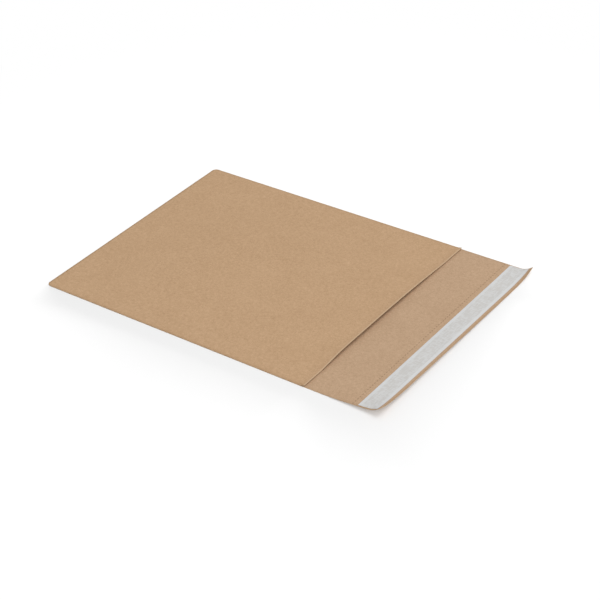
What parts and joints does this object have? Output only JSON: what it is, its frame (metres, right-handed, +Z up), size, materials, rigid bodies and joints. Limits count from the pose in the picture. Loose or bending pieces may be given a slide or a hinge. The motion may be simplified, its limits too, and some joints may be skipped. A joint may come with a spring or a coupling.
{
  "type": "kraft envelope",
  "caption": "Flat kraft board mailing envelope lying open: a pocket with folded and glued sides, a seal flap laid out flat with curled corners, a perforated tear line, and a peel-off liner over its adhesive strip.",
  "frame": {"origin": "middle of the whole outline, flap included, on the surface that the envelope lies on", "axes": "+X across the pocket, +Y from the closed end through the mouth to the seal flap's free end, +Z up through the upper panel"},
  "size_m": [0.26, 0.3824, 0.0104],
  "materials": {
    "kraft_board": "uncoated kraft board, matt, with fine fibres",
    "adhesive": "pale tacky hot-melt film",
    "liner_paper": "thin silicone-coated paper, soft sheen"
  },
  "bodies": {
    "root": {"envelope": "kraft_board", "adhesive_strip": "adhesive", "release_liner": "liner_paper"}
  },
  "joints": []
}
